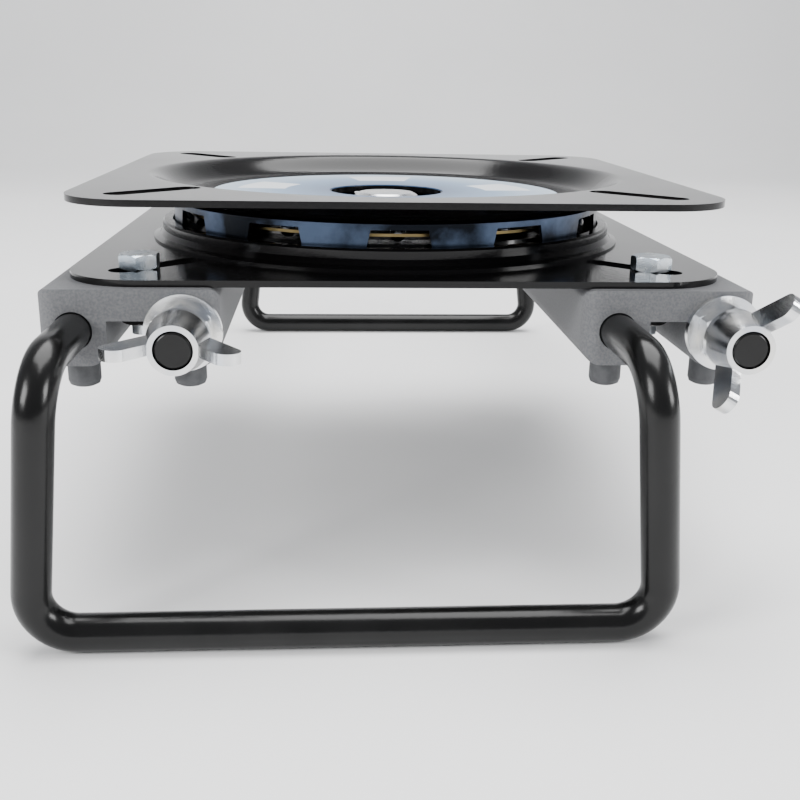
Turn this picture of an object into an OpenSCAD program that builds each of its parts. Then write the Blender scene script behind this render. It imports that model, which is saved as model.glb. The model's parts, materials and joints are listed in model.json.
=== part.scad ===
// Clamp-on swivel mount for a boat seat. The origin is on the swivel axis, in the plane the seat sits on.

/* [Swivel plates] */
// Side of both square plates
plate_w = 178; // [176:1:182]
// Corner radius of both plates
plate_r = 20; // [14:1:24]
// Sheet thickness of both plates
plate_t = 1.8; // [1.6:0.1:2]
// Height from the lower plate's top to the seat plane
swivel_h = 20.2; // [20:0.1:22]
// Radius where the dish of the upper plate meets the flat corners
dish_rim_r = 78; // [77:0.5:79]
// Radius of the dish floor
dish_floor_r = 66; // [65:0.5:70]
// Depth of the dish
dish_depth = 6.4; // [6:0.1:6.6]
// Diameter of the hole through the middle of the dish
centre_hole_d = 37; // [34:1:40]

/* [Corner slots] */
// Distance of a slot's middle from the axis
slot_mid_r = 94; // [93:0.5:95]
// Length of a slot, end to end
slot_len = 30; // [26:1:31]
// Width of a slot
slot_w = 7.5; // [7:0.5:8]

/* [Bearing] */
// Diameter of a bearing ball
ball_d = 4.6; // [4.4:0.1:4.6]
// Number of bearing balls
ball_n = 24; // [12:1:36]
// Radius of the ball circle
ball_circle_r = 62; // [61.5:0.25:62.5]
// Outer radius of the race ring on the lower plate
race_r = 73.8; // [73.6:0.1:75]
// Outer radius of the tabbed ring under the upper plate
tab_ring_r = 70; // [69.6:0.1:70.2]
// Number of tabs
tab_n = 12; // [8:1:14]
// Width of the gap between two tabs at its narrow end
tab_gap_w = 16; // [12:1:18]

/* [Blocks] */
// Length of a moulded block
block_len = 184; // [178:1:190]
// Width of a moulded block
block_w = 46; // [45:0.5:48]
// Height of a moulded block
block_h = 20; // [19.5:0.5:22]
// Distance of a block's middle from the swivel axis
block_x = 70.5; // [70:0.5:71]
// Thickness of the web between the two barrels
web_t = 8.2; // [7:0.2:9]
// Width of the channel that holds the nuts
channel_w = 11; // [10.6:0.1:12]
// Distance between the two bores of one block
bore_pitch = 28; // [27.5:0.5:28.5]
// Depth of the bores below the block's top
bore_drop = 10.8; // [10:0.2:11]

/* [Bars] */
// Diameter of the bent bars
bar_d = 9.5; // [9:0.1:9.6]
// Forward reach of the fixed bar from the axis
fixed_reach = 128; // [126:1:140]
// Reach of the clamp bar from the axis at its widest setting
clamp_reach = 216; // [210:1:230]
// Height of the lower bars' centre line below the seat plane
crossbar_drop = 100.5; // [90:0.5:110]
// Distance that each leg spreads outward
leg_splay = 7.6; // [0:0.2:9]
// Distance that each leg leans in towards the other bar
leg_lean = 4; // [0:0.5:6]
// Centre-line radius of the upper bends
top_bend_r = 13; // [10:0.5:14]
// Centre-line radius of the lower bends
low_bend_r = 10.5; // [9:0.5:13]

/* [Fasteners] */
// Outer diameter of the washers
washer_d = 20; // [18:0.5:21]
// Thickness of the washers
washer_t = 2; // [1.2:0.1:2.2]
// Width across flats of the bar nuts
bar_nut_af = 14.3; // [13:0.1:16]
// Thickness of the bar nuts
bar_nut_h = 6; // [5:0.5:6.5]
// Length of a wing nut along its thread
wing_len = 11.6; // [10:0.2:12]
// Radius swept by a wing nut's tips
wing_r = 16.5; // [15:0.5:18]
// Height of the wings' tips past the boss
ear_rise = 7; // [4:0.5:8]
// Thread diameter of the plate bolts
bolt_d = 6; // [5:0.5:6]
// Width across flats of the plate bolts and their nuts
bolt_af = 10; // [9:0.5:10]

/* [Feet] */
// Diameter of a rubber foot
foot_d = 8.6; // [8:0.2:10]
// Length of a foot below its block
foot_len = 7.6; // [6:0.2:9]

/* [Hidden] */
$fn = 64;
bar_clear = 0.25;
thread_clear = 0.1;
run_clear = 0.6;
cut = 1;
// Heights, downward from the seat plane
low_top = -swivel_h;
low_under = low_top - plate_t;
dish_top = -dish_depth;
dish_under = dish_top - plate_t;
// Bearing levels, from the upper plate down
ring_t = 1.2;
ring_under = dish_under - ring_t;
ball_gap = 0.1;
ball_z = ring_under - ball_gap - ball_d / 2;
bead_top = ball_z - ball_d / 2 - ball_gap;
lip_t = 1.6;
lip_top = bead_top - 0.2;
hook_top = lip_top - lip_t - run_clear;
hook_t = 1;
// Blocks
block_under = low_under - block_h;
bore_z = low_under - bore_drop;
bore_r = bar_d / 2 + bar_clear;
face_y = block_len / 2;
outer_x = block_x + bore_pitch / 2;
inner_x = block_x - bore_pitch / 2;
// Fasteners on the bars
nut_y = face_y + washer_t;
wing_gap = 0.4;
wing_y = nut_y + bar_nut_h + wing_gap;
rod_end_y = wing_y + wing_len;
rear_stub = 3;
wing_t = 2.8;
label_t = 0.3;
foot_y = face_y - 10;
stem_d = 5;
stem_len = 2.8;
// Facets around a bent bar and along one bend
bar_sides = 24;
bend_steps = 8;

function unit(v) = v / norm(v);
function turn(a, b) = acos(unit(a) * unit(b));
// Points of the arc that rounds corner p between directions a and b with radius r
function arc(p, a, b, r) =
    let (angle = turn(a, b), c = p + unit(b - a) * r / cos(angle / 2),
        start = p - a * r * tan(angle / 2), u = unit(start - c))
    [for (k = [0 : bend_steps]) c + r * (u * cos(angle * k / bend_steps) + a * sin(angle * k / bend_steps))];
// The path with each of its inner corners rounded
function rounded(path, radii) = concat([path[0]],
    [for (i = [1 : len(path) - 2])
        each arc(path[i], unit(path[i] - path[i - 1]), unit(path[i + 1] - path[i]), radii[i - 1])],
    [path[len(path) - 1]]);
function tangent(r, i) = i == 0 ? unit(r[1] - r[0])
    : i == len(r) - 1 ? unit(r[i] - r[i - 1]) : unit(unit(r[i] - r[i - 1]) + unit(r[i + 1] - r[i]));
// A direction square to the route at each point, carried along without twist
function sides_of(r, i = 0, last = [0, 0, 1], out = []) = i == len(r) ? out
    : let (t = tangent(r, i), u = unit(last - t * (last * t))) sides_of(r, i + 1, u, concat(out, [u]));

module rounded_square(w, r) {
    square([w, w - 2 * r], center = true);
    square([w - 2 * r, w], center = true);
    for (x = [-1, 1], y = [-1, 1]) translate([x * (w / 2 - r), y * (w / 2 - r)]) circle(r);
}
module ring(r_in, r_out, z_low, z_high)
    rotate_extrude() translate([r_in, z_low]) square([r_out - r_in, z_high - z_low]);
module corner_slots()
    for (a = [45 : 90 : 315]) rotate(a) {
        translate([slot_mid_r, 0]) square([slot_len - slot_w, slot_w], center = true);
        for (s = [-1, 1]) translate([slot_mid_r + s * (slot_len - slot_w) / 2, 0]) circle(slot_w / 2);
    }
// A round bar of diameter d swept along the route
module swept_bar(route, d) {
    n = len(route);
    s = bar_sides;
    sides = sides_of(route);
    points = [for (i = [0 : n - 1]) let (u = sides[i], v = cross(tangent(route, i), u))
        for (k = [0 : s - 1]) route[i] + d / 2 * (u * cos(360 * k / s) + v * sin(360 * k / s))];
    skin = [for (i = [0 : n - 2], k = [0 : s - 1])
        [i * s + k, (i + 1) * s + k, (i + 1) * s + (k + 1) % s, i * s + (k + 1) % s]];
    polyhedron(points, concat([[for (k = [0 : s - 1]) k]],
        [[for (k = [s - 1 : -1 : 0]) (n - 1) * s + k]], skin));
}
module u_bar(x_left, x_right, end_y, reach_y) {
    lean = reach_y > 0 ? -leg_lean : leg_lean;
    swept_bar(rounded([[x_left, end_y, bore_z], [x_left, reach_y, bore_z],
        [x_left - leg_splay, reach_y + lean, -crossbar_drop],
        [x_right + leg_splay, reach_y + lean, -crossbar_drop],
        [x_right, reach_y, bore_z], [x_right, end_y, bore_z]],
        [top_bend_r, low_bend_r, low_bend_r, top_bend_r]), bar_d);
}
// Hexagon with its corners turned off, standing on z = 0, with flats facing X
module hex_body(af, h) {
    corner = af / cos(30);
    intersection() {
        rotate([0, 0, 30]) cylinder(d = corner, h = h, $fn = 6);
        rotate_extrude() polygon([[0, 0], [af / 2, 0], [corner / 2, (corner - af) / 3],
            [corner / 2, h - (corner - af) / 3], [af / 2, h], [0, h]]);
    }
}
module hex_nut(af, h, bore)
    difference() {
        hex_body(af, h);
        translate([0, 0, -cut]) cylinder(d = bore, h = h + 2 * cut);
    }
module washer(d)
    difference() {
        cylinder(d = washer_d, h = washer_t);
        translate([0, 0, -cut]) cylinder(d = d + 2 * bar_clear, h = washer_t + 2 * cut);
    }
// A wing nut standing on z = 0 along its thread
module wing_nut_body() {
    boss_low = 8;
    boss_high = 6.2;
    tip_r = 3.4;
    difference() {
        union() {
            rotate_extrude() polygon([[0, 0], [boss_low, 0], [boss_low, 2], [boss_high, wing_len],
                [0, wing_len]]);
            for (side = [0, 180]) rotate([0, 0, side]) rotate([90, 0, 0])
                translate([0, 0, -wing_t / 2]) linear_extrude(wing_t) hull() {
                    translate([wing_r - tip_r, wing_len + ear_rise - tip_r]) circle(tip_r, $fn = 32);
                    translate([boss_high - 2, 1]) square([2.4, wing_len - 3.4]);
                }
        }
        translate([0, 0, -cut]) cylinder(d = bar_d + 2 * thread_clear, h = wing_len + ear_rise + cut);
    }
}
// Places a fastener at a block's near face, pointing forward
module at_front(x, y) translate([x, -y, bore_z]) rotate([90, 0, 0]) children();
module at_rear(x, y) translate([x, y, bore_z]) rotate([-90, 0, 0]) children();
module at_bolts() for (x = [-1, 1], y = [-1, 1]) translate([x * block_x, y * block_x, 0]) children();

module upper_plate() {
    steps = 16;
    wall = [for (i = [0 : steps]) [dish_floor_r + (dish_rim_r - dish_floor_r) * i / steps,
        dish_top + dish_depth * (1 - cos(180 * i / steps)) / 2]];
    under = [for (i = [steps : -1 : 0]) wall[i] - [0, plate_t]];
    color([0.03, 0.03, 0.035]) {
        translate([0, 0, -plate_t]) linear_extrude(plate_t) difference() {
            rounded_square(plate_w, plate_r);
            circle(dish_rim_r, $fn = 96);
            corner_slots();
        }
        rotate_extrude($fn = 96) polygon(concat([[centre_hole_d / 2, dish_top]], wall, under,
            [[centre_hole_d / 2, dish_under]]));
    }
}
module label_disc() color([0.25, 0.45, 0.75]) {
    label_margin = 8.5;
    ring(centre_hole_d / 2 + 0.5, dish_floor_r - label_margin, dish_top, dish_top + label_t);
}
module retaining_ring() color([0.35, 0.4, 0.5]) {
    wall_t = 1.2;
    gap_flare = 2;
    difference() {
        union() {
            ring(ball_circle_r - 3, tab_ring_r, ring_under, dish_under);
            ring(tab_ring_r - wall_t, tab_ring_r, hook_top - hook_t, ring_under);
            ring(tab_ring_r - wall_t, tab_ring_r + 1.2, hook_top - hook_t, hook_top);
        }
        for (i = [0 : tab_n - 1]) rotate([0, 0, i * 360 / tab_n]) translate([tab_ring_r - 4, 0, 0])
            rotate([90, 0, 90]) linear_extrude(8) polygon([[-tab_gap_w / 2, ring_under - 0.4],
                [tab_gap_w / 2, ring_under - 0.4],
                [tab_gap_w / 2 + gap_flare, hook_top - hook_t - cut],
                [-tab_gap_w / 2 - gap_flare, hook_top - hook_t - cut]]);
    }
}
module ball_circle() for (i = [0 : ball_n - 1])
    rotate([0, 0, i * 360 / ball_n]) translate([ball_circle_r, 0, ball_z]) children();
module bearing_balls() color("silver") ball_circle() sphere(d = ball_d, $fn = 32);
module ball_cage() color([0.8, 0.7, 0.4]) {
    cage_t = 0.8;
    difference() {
        ring(ball_circle_r - ball_d / 2 - 1, ball_circle_r + ball_d / 2 + 1, ball_z - cage_t / 2,
            ball_z + cage_t / 2);
        ball_circle() cylinder(d = ball_d + 0.3, h = 2 * cut, center = true);
    }
}
module race_ring() color([0.05, 0.05, 0.055]) {
    wall_t = 1.8;
    foot_w = 3;
    lip_in = tab_ring_r + run_clear;
    rotate_extrude() polygon([[race_r - wall_t, low_top], [race_r + foot_w, low_top],
        [race_r + foot_w, low_top + 0.6], [race_r + 1, low_top + 1.4], [race_r, low_top + 3],
        [race_r, lip_top - 0.6], [race_r - 0.6, lip_top], [lip_in, lip_top], [lip_in, lip_top - lip_t],
        [race_r - wall_t, lip_top - lip_t]]);
}
module lower_plate() color([0.04, 0.04, 0.045]) {
    in_r = ball_circle_r - 8;
    out_r = ball_circle_r + 6.2;
    half = 4;
    skin = 1.6;
    translate([0, 0, low_under]) linear_extrude(plate_t) difference() {
        rounded_square(plate_w, plate_r);
        difference() { circle(out_r); circle(in_r); }
        corner_slots();
    }
    rotate_extrude() polygon([[in_r, low_under], [in_r, low_top], [ball_circle_r - half, bead_top],
        [ball_circle_r + half, bead_top], [out_r, low_top], [out_r, low_under],
        [out_r - skin, low_under], [ball_circle_r + half - 1, bead_top - skin],
        [ball_circle_r - half + 1, bead_top - skin], [in_r + skin, low_under]]);
}
module centre_pivot() color([0.75, 0.76, 0.78]) {
    foot_r = 12;
    post_r = 5;
    head_r = 10.5;
    head_t = 2.4;
    top = dish_top - 0.2;
    rotate_extrude() polygon([[0, low_top], [foot_r, low_top], [foot_r, low_top + 1.6],
        [post_r, low_top + 1.6], [post_r, top - head_t], [head_r, top - head_t],
        [head_r, top - 0.8], [head_r - 1.6, top], [0, top]]);
}
// One moulded block: two barrels joined by a web, with nuts in the channel between them
module block(mid) {
    lobe_w = (block_w - channel_w) / 2;
    lobe_r = 5;
    edge_r = 3;
    color([0.36, 0.36, 0.37]) translate([mid, 0, 0]) difference() {
        intersection() {
            rotate([90, 0, 0]) linear_extrude(block_len, center = true) {
                translate([-block_w / 2, low_under - web_t]) square([block_w, web_t - edge_r]);
                translate([edge_r - block_w / 2, low_under - edge_r])
                    square([block_w - 2 * edge_r, edge_r]);
                for (s = [-1, 1]) {
                    translate([s * (block_w / 2 - edge_r), low_under - edge_r]) circle(edge_r);
                    translate([s * (channel_w + lobe_w) / 2, 0]) {
                        translate([-lobe_w / 2, block_under + lobe_r])
                            square([lobe_w, block_h - edge_r - lobe_r]);
                        translate([lobe_r - lobe_w / 2, block_under])
                            square([lobe_w - 2 * lobe_r, block_h / 2]);
                        for (t = [-1, 1]) translate([t * (lobe_w / 2 - lobe_r), block_under + lobe_r])
                            circle(lobe_r);
                    }
                }
            }
            translate([0, 0, block_under - cut]) linear_extrude(block_h + 2 * cut) {
                square([block_w, block_len - 2 * lobe_r], center = true);
                square([block_w - 2 * lobe_r, block_len], center = true);
                for (x = [-1, 1], y = [-1, 1])
                    translate([x * (block_w / 2 - lobe_r), y * (block_len / 2 - lobe_r)]) circle(lobe_r);
            }
        }
        for (s = [-1, 1]) {
            translate([s * bore_pitch / 2, 0, bore_z]) rotate([90, 0, 0])
                cylinder(r = bore_r, h = block_len + 2 * cut, center = true);
            translate([0, s * block_x, low_under - web_t - cut])
                cylinder(d = bolt_d + 2 * bar_clear, h = web_t + 2 * cut);
            for (t = [-1, 1]) translate([s * bore_pitch / 2, t * foot_y, block_under - cut])
                cylinder(d = stem_d + 2 * thread_clear, h = stem_len + 0.2 + cut);
        }
    }
}
module left_block() block(-block_x);
module right_block() block(block_x);
module feet(mid) color([0.2, 0.2, 0.21])
    for (s = [-1, 1], t = [-1, 1]) translate([mid + s * bore_pitch / 2, t * foot_y, block_under])
        rotate_extrude() polygon([[0, -foot_len], [foot_d / 2 - 1.4, -foot_len],
            [foot_d / 2 - 0.4, -foot_len + 0.5], [foot_d / 2, -foot_len + 1.6], [foot_d / 2, 0],
            [stem_d / 2, 0], [stem_d / 2, stem_len], [0, stem_len]]);
module left_feet() feet(-block_x);
module right_feet() feet(block_x);
module fixed_bar() color([0.03, 0.03, 0.03])
    u_bar(-outer_x, inner_x, nut_y + bar_nut_h + rear_stub, -fixed_reach);
module clamp_bar() color([0.03, 0.03, 0.03]) u_bar(-inner_x, outer_x, -rod_end_y, clamp_reach);
module left_front_washer() color("silver") at_front(-inner_x, face_y) washer(bar_d);
module right_front_washer() color("silver") at_front(outer_x, face_y) washer(bar_d);
module left_hex_nut() color("silver")
    at_front(-inner_x, nut_y) hex_nut(bar_nut_af, bar_nut_h, bar_d + 2 * thread_clear);
module right_hex_nut() color("silver")
    at_front(outer_x, nut_y) hex_nut(bar_nut_af, bar_nut_h, bar_d + 2 * thread_clear);
module left_wing_nut() color([0.85, 0.86, 0.88])
    at_front(-inner_x, wing_y) rotate(-2) wing_nut_body();
module right_wing_nut() color([0.85, 0.86, 0.88])
    at_front(outer_x, wing_y) rotate(60) wing_nut_body();
module rear_washers() color("silver") for (x = [-outer_x, inner_x]) at_rear(x, face_y) washer(bar_d);
module rear_lock_nuts() color("silver") for (x = [-outer_x, inner_x])
    at_rear(x, nut_y) hex_nut(bar_nut_af, bar_nut_h, bar_d + 2 * thread_clear);
module plate_bolts() color([0.6, 0.65, 0.72]) {
    head_h = 4;
    bolt_len = plate_t + web_t + 8;
    at_bolts() {
        translate([0, 0, low_top]) hex_body(bolt_af, head_h);
        translate([0, 0, low_top - bolt_len]) cylinder(d = bolt_d, h = bolt_len + cut);
    }
}
module bolt_nuts() color([0.08, 0.08, 0.08]) {
    bolt_nut_h = 5;
    at_bolts() translate([0, 0, low_under - web_t - bolt_nut_h])
        hex_nut(bolt_af, bolt_nut_h, bolt_d + 2 * thread_clear);
}

upper_plate();
label_disc();
retaining_ring();
bearing_balls();
ball_cage();
race_ring();
lower_plate();
centre_pivot();
left_block();
right_block();
left_feet();
right_feet();
fixed_bar();
clamp_bar();
left_front_washer();
right_front_washer();
left_hex_nut();
right_hex_nut();
left_wing_nut();
right_wing_nut();
rear_washers();
rear_lock_nuts();
plate_bolts();
bolt_nuts();
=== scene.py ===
# %% [markdown]
# The imported model is the fixed frame for everything here: each piece lies where its construction puts it.
# We load it first and note its box.

# %% Load the frame
import json
from math import ceil, cos, pi, sin, tan

import bmesh
import bpy
from mathutils import Matrix, Vector


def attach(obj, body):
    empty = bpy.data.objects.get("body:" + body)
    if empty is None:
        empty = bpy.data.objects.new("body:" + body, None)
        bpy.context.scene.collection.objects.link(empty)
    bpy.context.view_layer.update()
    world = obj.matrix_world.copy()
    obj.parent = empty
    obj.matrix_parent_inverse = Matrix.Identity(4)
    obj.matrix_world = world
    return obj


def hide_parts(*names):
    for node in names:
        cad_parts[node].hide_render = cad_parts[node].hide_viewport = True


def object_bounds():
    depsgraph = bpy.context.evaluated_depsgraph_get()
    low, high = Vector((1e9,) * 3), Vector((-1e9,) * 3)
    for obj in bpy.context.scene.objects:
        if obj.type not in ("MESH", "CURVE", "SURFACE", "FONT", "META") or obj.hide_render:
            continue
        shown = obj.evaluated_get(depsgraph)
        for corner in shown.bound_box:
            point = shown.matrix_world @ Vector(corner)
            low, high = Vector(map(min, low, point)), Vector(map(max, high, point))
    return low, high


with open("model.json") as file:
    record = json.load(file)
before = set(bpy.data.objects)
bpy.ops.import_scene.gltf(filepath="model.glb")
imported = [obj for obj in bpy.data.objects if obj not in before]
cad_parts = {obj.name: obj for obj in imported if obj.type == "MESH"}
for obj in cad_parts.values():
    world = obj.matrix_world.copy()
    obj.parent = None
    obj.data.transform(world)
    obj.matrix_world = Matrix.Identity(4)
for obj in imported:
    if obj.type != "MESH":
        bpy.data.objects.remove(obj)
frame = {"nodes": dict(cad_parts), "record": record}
cad_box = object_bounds()
MM = 0.001
print("nodes:", len(frame["nodes"]), "box:", [list(map(float, corner)) for corner in cad_box])

# %% [markdown]
# The camera stands low and close in front of the wing nuts, a little left of the middle, and looks down
# on the dish. Its place was found by matching the edges of both plates, so we set it by three angles in
# radians and by a focal length in pixels of the frame.

# %% Camera
PITCH, YAW, ROLL = 0.3007, 0.0709, 0.017
FOCAL_PIXELS, FRAME_PIXELS, SENSOR = 1036.9, 800, 36.0
CAMERA_PLACE = Vector((-19.3, -353.5, 29.9)) * MM
NEAR_CLIP = 10 * MM

def camera_turn():
    forward = Vector((sin(YAW) * cos(PITCH), cos(YAW) * cos(PITCH), -sin(PITCH)))
    level = Vector((cos(YAW), -sin(YAW), 0))
    upward = level.cross(forward)
    right = level * cos(ROLL) + upward * sin(ROLL)
    up = upward * cos(ROLL) - level * sin(ROLL)
    return Matrix((right, up, -forward)).transposed().to_4x4()

camera_data = bpy.data.cameras.new("view_camera")
camera_data.sensor_width = SENSOR
camera_data.lens = FOCAL_PIXELS / FRAME_PIXELS * SENSOR
camera_data.clip_start = NEAR_CLIP
camera = bpy.data.objects.new("view_camera", camera_data)
bpy.context.scene.collection.objects.link(camera)
camera.matrix_world = Matrix.Translation(CAMERA_PLACE) @ camera_turn()
bpy.context.scene.camera = camera
print("lens:", round(camera_data.lens, 2), "mm")

# %% [markdown]
# Gloss black paint shows little but reflections, so the studio matters more than the paint. A pale floor
# that curves up into a backdrop hides the horizon. One strip of faces along a bent profile makes it.

# %% Backdrop
def new_object(name, mesh):
    made = bpy.data.objects.new(name, mesh)
    bpy.context.scene.collection.objects.link(made)
    return made

def curved_backdrop(low, width=3.0, front=-1.5, back=1.2, bend=0.5, height=1.6, steps=16):
    profile = [(front, low), (back, low)]
    profile += [(back + bend * sin(a), low + bend * (1 - cos(a)))
                for a in (pi / 2 * i / steps for i in range(1, steps + 1))]
    profile.append((back + bend, low + height))
    points = [(side * width, y, z) for y, z in profile for side in (-1, 1)]
    faces = [(2 * i, 2 * i + 1, 2 * i + 3, 2 * i + 2) for i in range(len(profile) - 1)]
    mesh = bpy.data.meshes.new("studio_floor")
    mesh.from_pydata(points, [], faces)
    mesh.polygons.foreach_set("use_smooth", [True] * len(faces))
    return new_object("studio_floor", mesh)

floor = curved_backdrop(cad_box[0][2])
print("floor at", round(cad_box[0][2], 4))

# %% [markdown]
# Three soft square panels light the mount. The large one above opens up the dish, and the two in front,
# left and right, put long glints on the bars. Places and sizes are in metres, powers in watts.

# %% Light panels
PANELS = {
    "top_panel": {"place": (0.1, 0.2, 1.2), "aim": (0, 0.05, 0), "size": 1.2, "power": 36},
    "left_panel": {"place": (-0.9, -0.7, 0.5), "aim": (0, 0, -0.05), "size": 0.5, "power": 13},
    "right_panel": {"place": (1.0, -0.5, 0.35), "aim": (0, 0, -0.05), "size": 0.4, "power": 9},
}

def soft_panel(name, place, aim, size, power):
    data = bpy.data.lights.new(name, "AREA")
    data.shape, data.size, data.energy = "SQUARE", size, power
    panel = bpy.data.objects.new(name, data)
    bpy.context.scene.collection.objects.link(panel)
    panel.location = place
    panel.rotation_euler = (Vector(aim) - Vector(place)).to_track_quat("-Z", "Y").to_euler()

for panel_name, settings in PANELS.items():
    soft_panel(panel_name, **settings)
print("panels:", len(PANELS))

# %% [markdown]
# A faint cool light from all around stands for the room. Without it the shaded sides of the bars would
# go to plain black.

# %% Room light
ROOM_COLOUR = (0.93, 0.95, 1, 1)
ROOM_STRENGTH = 0.4
world = bpy.data.worlds.new("studio_air")
bpy.context.scene.world = world
world.use_nodes = True
world.node_tree.nodes["Background"].inputs["Color"].default_value = ROOM_COLOUR
world.node_tree.nodes["Background"].inputs["Strength"].default_value = ROOM_STRENGTH
print("room light:", ROOM_STRENGTH)

# %% [markdown]
# No surface of a used fitting is one even colour. So every finish lets one noise move its colour between
# two tones and its roughness between two values. A painted picture could do this too, but it would have
# to be laid out for each shape, while noise fits any shape as it is.

# %% Tone helper
PATCH_DETAIL = 6

def add(tree, kind, **settings):
    made = tree.nodes.new(kind)
    for key, value in settings.items():
        setattr(made, key, value)
    return made

def varied_tone(tree, shader, place, dark, light, scale, rough, edges):
    patches = add(tree, "ShaderNodeTexNoise")
    patches.inputs["Scale"].default_value = scale
    patches.inputs["Detail"].default_value = PATCH_DETAIL
    tree.links.new(place, patches.inputs["Vector"])
    tones = add(tree, "ShaderNodeValToRGB")
    tones.color_ramp.elements[0].position, tones.color_ramp.elements[1].position = edges
    tones.color_ramp.elements[0].color = (*dark, 1)
    tones.color_ramp.elements[1].color = (*light, 1)
    tree.links.new(patches.outputs["Fac"], tones.inputs["Fac"])
    tree.links.new(tones.outputs["Color"], shader.inputs["Base Color"])
    spread = add(tree, "ShaderNodeMapRange")
    spread.inputs["To Min"].default_value, spread.inputs["To Max"].default_value = rough
    tree.links.new(patches.outputs["Fac"], spread.inputs["Value"])
    tree.links.new(spread.outputs["Result"], shader.inputs["Roughness"])

print("patch detail:", PATCH_DETAIL)

# %% [markdown]
# The orange peel of the coating and the grain of the moulded parts are far too fine to model. A second,
# finer noise stands for them: it only tilts the light on the surface, through a small bump.

# %% Grain helper
GRAIN_DETAIL = 3
GRAIN_HEIGHT = 0.4 * MM

def fine_grain(tree, shader, place, strength, scale):
    fine = add(tree, "ShaderNodeTexNoise")
    fine.inputs["Scale"].default_value = scale
    fine.inputs["Detail"].default_value = GRAIN_DETAIL
    tree.links.new(place, fine.inputs["Vector"])
    bump = add(tree, "ShaderNodeBump")
    bump.inputs["Strength"].default_value = strength
    bump.inputs["Distance"].default_value = GRAIN_HEIGHT
    tree.links.new(fine.outputs["Fac"], bump.inputs["Height"])
    tree.links.new(bump.outputs["Normal"], shader.inputs["Normal"])

print("grain height:", round(GRAIN_HEIGHT / MM, 2), "mm")

# %% [markdown]
# One helper then makes any finish from these two steps. What is even all over, such as how metallic the
# surface is, is set on the shader's own socket, because that is where an exported model keeps it.

# %% Finish helper
FINISHES = {}

def finish(name, dark, light, scale, rough, grain=0.05, grain_scale=900, metal=0.0, edges=(0.35, 0.65),
           **sockets):
    material = bpy.data.materials.new(name)
    material.use_nodes = True
    tree = material.node_tree
    shader = tree.nodes["Principled BSDF"]
    place = add(tree, "ShaderNodeTexCoord").outputs["Object"]
    varied_tone(tree, shader, place, dark, light, scale, rough, edges)
    fine_grain(tree, shader, place, grain, grain_scale)
    shader.inputs["Metallic"].default_value = metal
    for socket, value in sockets.items():
        shader.inputs[socket.replace("_", " ")].default_value = value
    return material

def keep_finish(name, **settings):
    FINISHES[name] = finish(name, **settings)
    print("finish:", name)

# %% [markdown]
# The plates and bars are powder coated: a thick black skin with a faint orange peel. The plates are
# glossier than the bars, which are rubbed by handling.

# %% Powder coat
keep_finish("black_plate", dark=(0.003, 0.003, 0.0035), light=(0.006, 0.0055, 0.0055), scale=18,
            rough=(0.1, 0.2), grain=0.05, grain_scale=650, Specular_IOR_Level=0.26)
keep_finish("black_bar", dark=(0.003, 0.003, 0.003), light=(0.006, 0.006, 0.006), scale=60,
            rough=(0.16, 0.3), grain=0.08, grain_scale=500, Specular_IOR_Level=0.3)

# %% [markdown]
# The blocks are a filled grey nylon with pale specks, so their noise is very fine and their grain strong.
# The feet are a softer, darker rubber.

# %% Moulded parts
keep_finish("moulded_grey", dark=(0.105, 0.108, 0.115), light=(0.15, 0.152, 0.157), scale=1600,
            rough=(0.5, 0.75), grain=0.3, grain_scale=2200)
keep_finish("rubber_foot", dark=(0.05, 0.052, 0.056), light=(0.085, 0.087, 0.092), scale=300,
            rough=(0.55, 0.8), grain=0.3, grain_scale=1200)

# %% [markdown]
# The nuts, washers and pivot are bright zinc, with a cold tint and a warmer one. The plate bolts are a
# duller, bluer zinc, and the small nuts under the blocks are blackened.

# %% Fasteners
keep_finish("bright_zinc", dark=(0.62, 0.65, 0.7), light=(0.88, 0.87, 0.84), scale=120,
            rough=(0.12, 0.32), grain=0.12, grain_scale=420, metal=1.0)
keep_finish("bolt_zinc", dark=(0.42, 0.5, 0.58), light=(0.75, 0.78, 0.8), scale=160,
            rough=(0.18, 0.36), grain=0.1, grain_scale=500, metal=1.0)
keep_finish("black_nut", dark=(0.012, 0.012, 0.013), light=(0.035, 0.033, 0.032), scale=200,
            rough=(0.3, 0.5), grain=0.15, grain_scale=700, metal=0.4)

# %% [markdown]
# Between the plates sit the tabbed ring, the polished balls and their brass cage. The ring is dark steel.
# Its bluish patches are a painted reflection of cool sky light on the tabs, which we get by a narrow step
# between its two tones.

# %% Bearing
# The light, bluish tone of tab_steel is a painted reflection of sky light, not a tint of the steel.
keep_finish("tab_steel", dark=(0.006, 0.008, 0.012), light=(0.09, 0.125, 0.2), scale=45,
            rough=(0.25, 0.45), grain=0.1, grain_scale=500, metal=0.9, edges=(0.45, 0.62))
keep_finish("bearing_steel", dark=(0.6, 0.61, 0.63), light=(0.82, 0.82, 0.83), scale=200,
            rough=(0.08, 0.16), grain=0.03, grain_scale=600, metal=1.0)
# Both tones of cage_brass are darkened well below the brass's own colour. This is painted shade of the gap
# between the plates.
keep_finish("cage_brass", dark=(0.16, 0.12, 0.05), light=(0.3, 0.23, 0.11), scale=120,
            rough=(0.25, 0.4), grain=0.1, grain_scale=500, metal=1.0)

# %% [markdown]
# The printed disc in the dish is a ring of blue that fades to pale towards the rim, with five plain white
# fields. We draw it from the distance and the angle around the axis, so nothing on it can be read.

# %% Label values
LABEL_HOLE, LABEL_RIM = 19 * MM, 57 * MM
DEEP_BLUE, MIDDLE_BLUE, PALE_BLUE = (0.05, 0.1, 0.2, 1), (0.16, 0.27, 0.42, 1), (0.5, 0.6, 0.7, 1)
MIDDLE_STOP = 0.45
FIELD_COUNT, FIELD_CUT = 5, 0.35
FIELD_INNER, FIELD_OUTER = 34 * MM, 50 * MM
FIELD_WHITE, FIELD_COVER = (0.8, 0.82, 0.84, 1), 0.85
LABEL_ROUGHNESS = 0.28
print("label fields:", FIELD_COUNT)

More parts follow.
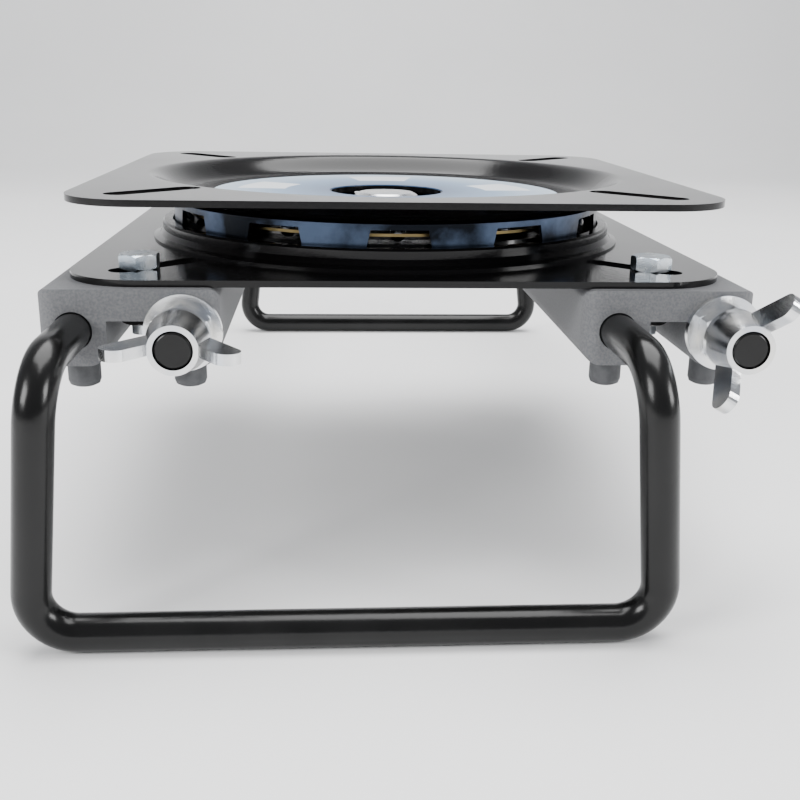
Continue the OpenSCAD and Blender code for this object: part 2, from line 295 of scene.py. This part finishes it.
# %% [markdown]
# A sine of the angle, cut at one height, gives fields that repeat around the axis. Two comparisons of the
# distance keep them between an inner and an outer circle.

# %% Label fields
def maths(tree, operation, first, second=0.0):
    made = add(tree, "ShaderNodeMath", operation=operation)
    for socket, value in zip(made.inputs, (first, second)):
        if isinstance(value, (int, float)):
            socket.default_value = value
        else:
            tree.links.new(value, socket)
    return made.outputs["Value"]

def distance_from_axis(tree, x, y):
    squares = maths(tree, "ADD", maths(tree, "MULTIPLY", x, x), maths(tree, "MULTIPLY", y, y))
    return maths(tree, "SQRT", squares)

def label_fields(tree, x, y, radius):
    waves = maths(tree, "SINE", maths(tree, "MULTIPLY", maths(tree, "ARCTAN2", y, x), FIELD_COUNT))
    fields = maths(tree, "GREATER_THAN", waves, FIELD_CUT)
    inner = maths(tree, "GREATER_THAN", radius, FIELD_INNER)
    outer = maths(tree, "LESS_THAN", radius, FIELD_OUTER)
    return maths(tree, "MULTIPLY", fields, maths(tree, "MULTIPLY", inner, outer))

print("fields from", round(FIELD_INNER / MM), "to", round(FIELD_OUTER / MM), "mm")

# %% [markdown]
# The blue itself is a ramp over the distance, from the hole in the middle to the rim of the disc. The
# white fields are blended over it, and a little of the blue is left to show through.

# %% Label finish
def label_finish():
    material = bpy.data.materials.new("label_film")
    material.use_nodes = True
    tree = material.node_tree
    shader = tree.nodes["Principled BSDF"]
    place = add(tree, "ShaderNodeSeparateXYZ")
    tree.links.new(add(tree, "ShaderNodeTexCoord").outputs["Object"], place.inputs["Vector"])
    x, y = place.outputs["X"], place.outputs["Y"]
    radius = distance_from_axis(tree, x, y)
    fade = add(tree, "ShaderNodeMapRange")
    fade.inputs["From Min"].default_value = LABEL_HOLE
    fade.inputs["From Max"].default_value = LABEL_RIM
    tree.links.new(radius, fade.inputs["Value"])
    blues = add(tree, "ShaderNodeValToRGB")
    stops = blues.color_ramp.elements
    stops[0].color, stops[1].color = DEEP_BLUE, PALE_BLUE
    middle = stops.new(MIDDLE_STOP)
    middle.color = MIDDLE_BLUE
    tree.links.new(fade.outputs["Result"], blues.inputs["Fac"])
    blend = add(tree, "ShaderNodeMix", data_type="RGBA")
    below, above = [socket for socket in blend.inputs if socket.type == "RGBA"]
    above.default_value = FIELD_WHITE
    cover = maths(tree, "MULTIPLY", label_fields(tree, x, y, radius), FIELD_COVER)
    tree.links.new(cover, blend.inputs["Factor"])
    tree.links.new(blues.outputs["Color"], below)
    shade = [socket for socket in blend.outputs if socket.type == "RGBA"][0]
    tree.links.new(shade, shader.inputs["Base Color"])
    shader.inputs["Roughness"].default_value = LABEL_ROUGHNESS
    return material

FINISHES["label_film"] = label_finish()
print("finishes:", len(FINISHES))

# %% [markdown]
# The floor takes a finish too, nearly white and dull, so that it stays plain and throws soft light back
# under the mount.

# %% Floor finish
floor.data.materials.append(finish("pale_floor", dark=(0.9, 0.9, 0.9), light=(0.94, 0.94, 0.94),
                                   scale=3, rough=(0.6, 0.7), grain=0.02))
print("floor finish:", floor.data.materials[0].name)

# %% [markdown]
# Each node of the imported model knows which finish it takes, so one loop dresses the whole frame.

# %% Dress the nodes
for part in frame["record"]["subparts"]:
    slots = frame["nodes"][part["node"]].data.materials
    slots.clear()
    slots.append(FINISHES[part["material_slot"]])

# %% [markdown]
# Each bar is one round rod bent four times: an arm, a leg, the crossbar, a leg and an arm. The legs splay
# apart as they go down, and lean a little towards the mount. These are the frame's own dimensions.

# %% Bar dimensions
BAR_RADIUS = 4.75 * MM
BORE_Z = -32.8 * MM
OUTER_X, INNER_X = 84.5 * MM, 56.5 * MM
CROSSBAR_Z = -100.5 * MM
SPLAY, LEAN = 7.6 * MM, 4 * MM
TOP_BEND, LOW_BEND = 13 * MM, 10.5 * MM
FIXED_REACH, CLAMP_REACH = -128 * MM, 216 * MM
FIXED_END, CLAMP_END = 103 * MM, -112 * MM
print("bar:", round(2 * BAR_RADIUS / MM, 2), "mm thick, crossbar at", round(CROSSBAR_Z / MM, 1), "mm")

# %% [markdown]
# The route is the line through the middle of the rod. At each of its four corners we put an arc that
# touches both straight parts, as the bending tool does.

# %% Bar route
BENDS = (TOP_BEND, LOW_BEND, LOW_BEND, TOP_BEND)

def u_route(left, right, end, reach, steps=14):
    lean = -LEAN if reach > 0 else LEAN
    corners = [Vector(p) for p in (
        (left, end, BORE_Z), (left, reach, BORE_Z), (left - SPLAY, reach + lean, CROSSBAR_Z),
        (right + SPLAY, reach + lean, CROSSBAR_Z), (right, reach, BORE_Z), (right, end, BORE_Z))]
    route = [corners[0]]
    for i, radius in enumerate(BENDS, start=1):
        before = (corners[i] - corners[i - 1]).normalized()
        after = (corners[i + 1] - corners[i]).normalized()
        angle = before.angle(after)
        centre = corners[i] + (after - before).normalized() * radius / cos(angle / 2)
        start = (corners[i] - before * radius * tan(angle / 2) - centre).normalized()
        route += [centre + radius * (start * cos(angle * k / steps) + before * sin(angle * k / steps))
                  for k in range(steps + 1)]
    return route + [corners[-1]]

print("bends:", [round(bend / MM, 1) for bend in BENDS])

# %% [markdown]
# The frame holds each bar with flat sides, which a gloss finish would show, so we sweep a smooth tube
# along the same route. A sweep keeps the section round through the bends, where a bevelled curve would
# need care. The ends get a small chamfer.

# %% Tube sweep
TUBE_SIDES = 40
CHAMFER = 0.7 * MM

def swept_tube(name, route, radius, sides=TUBE_SIDES, chamfer=CHAMFER):
    mesh = bpy.data.meshes.new(name)
    work = bmesh.new()
    first, last = (route[1] - route[0]).normalized(), (route[-1] - route[-2]).normalized()
    stations = [(route[0], radius - chamfer), (route[0] + first * chamfer, radius)]
    stations += [(p, radius) for p in route[1:-1]]
    stations += [(route[-1] - last * chamfer, radius), (route[-1], radius - chamfer)]
    side = Vector((0, 0, 1))
    rings = []
    for i, (point, size) in enumerate(stations):
        way = (stations[min(i + 1, len(stations) - 1)][0] - stations[max(i - 1, 0)][0]).normalized()
        side = (side - way * way.dot(side)).normalized()
        across = way.cross(side)
        rings.append([work.verts.new(point + size * (side * cos(a) + across * sin(a)))
                      for a in (2 * pi * k / sides for k in range(sides))])
    for low, high in zip(rings, rings[1:]):
        for k in range(sides):
            work.faces.new((low[k], low[(k + 1) % sides], high[(k + 1) % sides], high[k])).smooth = True
    work.faces.new(list(reversed(rings[0])))
    work.faces.new(rings[-1])
    bmesh.ops.recalc_face_normals(work, faces=work.faces)
    work.to_mesh(mesh)
    work.free()
    return new_object(name, mesh)

print("tube sides:", TUBE_SIDES)

# %% [markdown]
# Each tube then stands for its node and rides on the same body: the near bar is bolted fast to the base,
# and the far one slides.

# %% Make the bars
def make_bar(name, node, body, *shape):
    bar = swept_tube(name, u_route(*shape), BAR_RADIUS)
    bar.data.materials.append(FINISHES["black_bar"])
    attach(bar, body)
    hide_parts(node)
    print(name, "faces:", len(bar.data.polygons))

make_bar("fixed_bar_tube", "fixed_bar", "base", -OUTER_X, INNER_X, FIXED_END, FIXED_REACH)
make_bar("clamp_bar_tube", "clamp_bar", "clamp", -INNER_X, OUTER_X, CLAMP_END, CLAMP_REACH)

# %% [markdown]
# The nuts run on a rolled 3/8 inch thread of 16 turns to the inch. It must reach as far as the bar slides,
# so it is 120 mm long and most of it hides in the block. A true thread's depth would cut the rod, and
# only the crests show, so we give it one low ridge whose feet sink just under the rod's face.

# %% Thread dimensions
PITCH_LENGTH = 1.5875 * MM
THREAD_LENGTH = 120 * MM
THREAD_START = CLAMP_END + 1.5 * MM
CREST, ROOT = 0.09 * MM, -0.06 * MM
HALF_RIDGE = 0.3
RIDGE = ((-HALF_RIDGE, ROOT), (0, CREST), (HALF_RIDGE, ROOT))
print("thread turns:", round(THREAD_LENGTH / PITCH_LENGTH, 1))

# %% [markdown]
# We wind the ridge up the rod as a strip of three lines, two feet and a raised middle, and close it at
# both ends. It rides on the clamp's body, so it slides through the nuts with the bar.

# %% Wind the threads
def wound_thread(name, x, steps=20):
    count = ceil(THREAD_LENGTH / PITCH_LENGTH * steps)
    lines = len(RIDGE)
    last = lines * count
    points, faces = [], []
    for i in range(count + 1):
        angle = 2 * pi * i / steps
        y = THREAD_START + PITCH_LENGTH * i / steps
        for shift, size in RIDGE:
            r = BAR_RADIUS + size
            points.append((x + r * cos(angle), y + shift * PITCH_LENGTH, BORE_Z + r * sin(angle)))
    for i in range(count):
        for k in range(lines):
            a, b = lines * i + k, lines * i + (k + 1) % lines
            faces.append((a, b, b + lines, a + lines))
    faces += [(0, 2, 1), (last, last + 1, last + 2)]
    mesh = bpy.data.meshes.new(name)
    mesh.from_pydata(points, [], faces)
    work = bmesh.new()
    work.from_mesh(mesh)
    bmesh.ops.recalc_face_normals(work, faces=work.faces)
    work.to_mesh(mesh)
    work.free()
    thread = new_object(name, mesh)
    thread.data.materials.append(FINISHES["black_bar"])
    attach(thread, "clamp")
    print(name, "faces:", len(faces))

wound_thread("left_thread", -INNER_X)
wound_thread("right_thread", OUTER_X)

# %% [markdown]
# Last we close the script.

# %% Sizes and finish
print("done")
